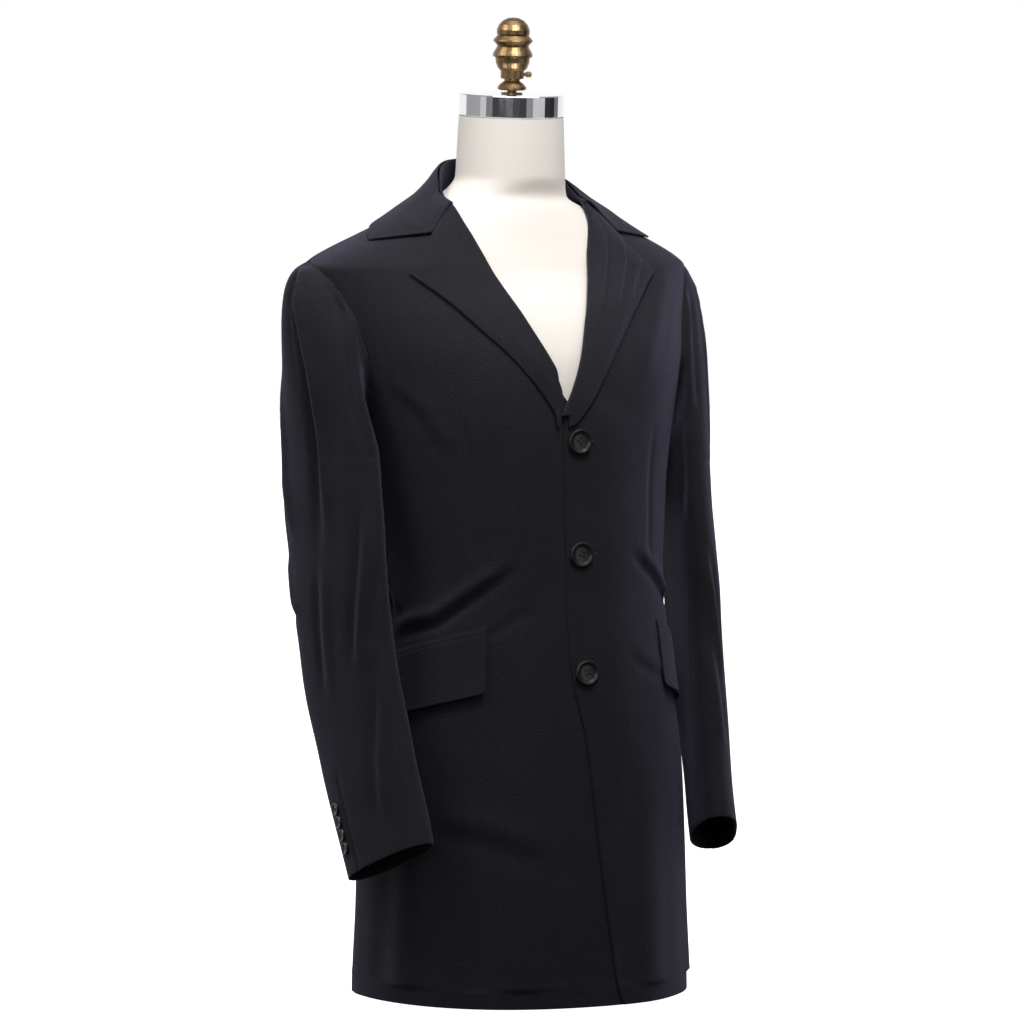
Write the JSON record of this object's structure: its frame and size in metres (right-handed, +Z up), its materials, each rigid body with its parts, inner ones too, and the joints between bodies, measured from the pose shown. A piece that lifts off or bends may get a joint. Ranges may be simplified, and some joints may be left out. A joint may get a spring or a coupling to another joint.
{
  "type": "wool overcoat on a dress form",
  "caption": "Single-breasted wool overcoat with notch lapels and flap pockets, buttoned on a limbless tailor's dress form that has a metal neck cap and finial and stands on a low round foot.",
  "frame": {"origin": "on the floor under the middle of the whole object's box", "axes": "+Z up, the coat's front faces -Y and the wearer's left side is at +X"},
  "size_m": [0.499, 0.3104, 1.0859],
  "materials": {
    "navy_wool": "very dark navy brushed wool coating, matt with a faint nap",
    "dark_horn": "polished dark horn",
    "cream_linen": "plain cream linen pulled smooth",
    "chrome": "bright plate",
    "antique_brass": "aged brass with rubbed bright edges",
    "black_iron": "satin black enamel"
  },
  "bodies": {
    "root": {"back_left": "navy_wool", "back_right": "navy_wool", "collar_fall": "navy_wool", "collar_stand": "navy_wool", "cuff_button_left_1": "dark_horn", "cuff_button_left_2": "dark_horn", "cuff_button_left_3": "dark_horn", "cuff_button_left_4": "dark_horn", "cuff_button_right_1": "dark_horn", "cuff_button_right_2": "dark_horn", "cuff_button_right_3": "dark_horn", "cuff_button_right_4": "dark_horn", "finial_screw": "antique_brass", "form_torso": "cream_linen", "front_button_1": "dark_horn", "front_button_2": "dark_horn", "front_button_3": "dark_horn", "front_left": "navy_wool", "front_right": "navy_wool", "lapel_left": "navy_wool", "lapel_right": "navy_wool", "neck_band": "chrome", "neck_finial": "antique_brass", "pocket_flap_left": "navy_wool", "pocket_flap_right": "navy_wool", "pocket_jetting_left": "navy_wool", "pocket_jetting_right": "navy_wool", "stand_foot": "black_iron", "stand_pole": "chrome", "top_sleeve_left": "navy_wool", "top_sleeve_right": "navy_wool", "under_sleeve_left": "navy_wool", "under_sleeve_right": "navy_wool"}
  },
  "joints": []
}
